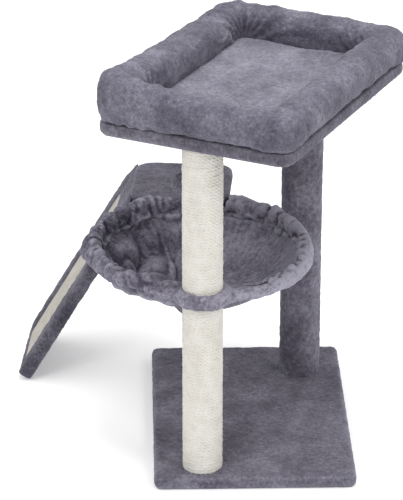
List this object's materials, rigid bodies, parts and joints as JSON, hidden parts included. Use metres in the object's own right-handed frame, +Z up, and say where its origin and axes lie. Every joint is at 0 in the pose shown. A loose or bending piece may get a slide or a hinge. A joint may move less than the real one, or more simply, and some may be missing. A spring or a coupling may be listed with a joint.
{
  "type": "cat tree",
  "caption": "Low plush cat tree: base, sisal posts, hoop basket, small shelf with a ramp, and a raised perch with a padded bolster bed and a hanging ball.",
  "frame": {"origin": "centre of the base's underside, on the floor", "axes": "+Z up, +X to the right and +Y to the back, along the base's edges; the ramp runs down towards -X"},
  "size_m": [0.6975, 0.6791, 0.7356],
  "materials": {
    "plush": "long-pile plush, matt with a soft sheen",
    "plush_bed": "long-pile plush, matt with a soft sheen",
    "sisal": "twisted sisal rope",
    "sisal_mat": "woven sisal mat",
    "board": "raw particle board",
    "liner": "black non-woven cloth",
    "cardboard": "spiral-wound tube",
    "plug": "moulded plastic",
    "zinc": "zinc plated",
    "wire": "black powder coat",
    "hook": "woven hook-and-loop tape",
    "cord": "twisted cotton cord"
  },
  "bodies": {
    "stand": {"base_board": "board", "base_cover": "plush", "base_liner": "liner", "front_lower_tube": "cardboard", "front_lower_sisal": "sisal", "front_upper_tube": "cardboard", "front_upper_sisal": "sisal", "rear_left_tube": "cardboard", "rear_left_sisal": "sisal", "rear_right_tube": "cardboard", "rear_right_plush": "plush", "sisal_post_plugs": "plug", "plush_post_plugs": "plug", "base_bolts": "zinc", "base_washers": "zinc", "joining_stud": "zinc", "perch_bolts": "zinc", "perch_washers": "zinc", "shelf_bolt": "zinc", "shelf_washer": "zinc", "basket_hoop": "wire", "basket_sling": "plush", "basket_rim": "plush", "shelf_board": "board", "shelf_cover": "plush", "shelf_liner": "liner", "ramp_board": "board", "ramp_cover": "plush", "ramp_sisal_mat": "sisal_mat", "ramp_brackets": "zinc", "ramp_screws": "zinc", "perch_board": "board", "perch_cover": "plush", "perch_liner": "liner", "cover_staples": "zinc", "bed_hook_strips": "hook", "toy_eye": "zinc"},
    "bed": {"bed_loop_strips": "hook", "bed_pad": "plush_bed", "bed_bolster": "plush_bed"},
    "toy_link": {"toy_ring": "zinc"},
    "toy": {"toy_loop": "cord", "toy_cord": "cord", "toy_ball": "plush"}
  },
  "joints": [
    {"name": "bed_lift", "type": "slide", "parent": "stand", "child": "bed", "axis": [0, 0, 1], "range_m": [0, 0.15]},
    {"name": "toy_swing_y", "type": "hinge", "parent": "stand", "child": "toy_link", "pos_m": [-0.12, -0.06, 0.6174], "axis": [1, 0, 0], "range_deg": [-40, 40]},
    {"name": "toy_swing_x", "type": "hinge", "parent": "toy_link", "child": "toy", "pos_m": [-0.12, -0.06, 0.60735], "axis": [0, 1, 0], "range_deg": [-40, 40]}
  ]
}
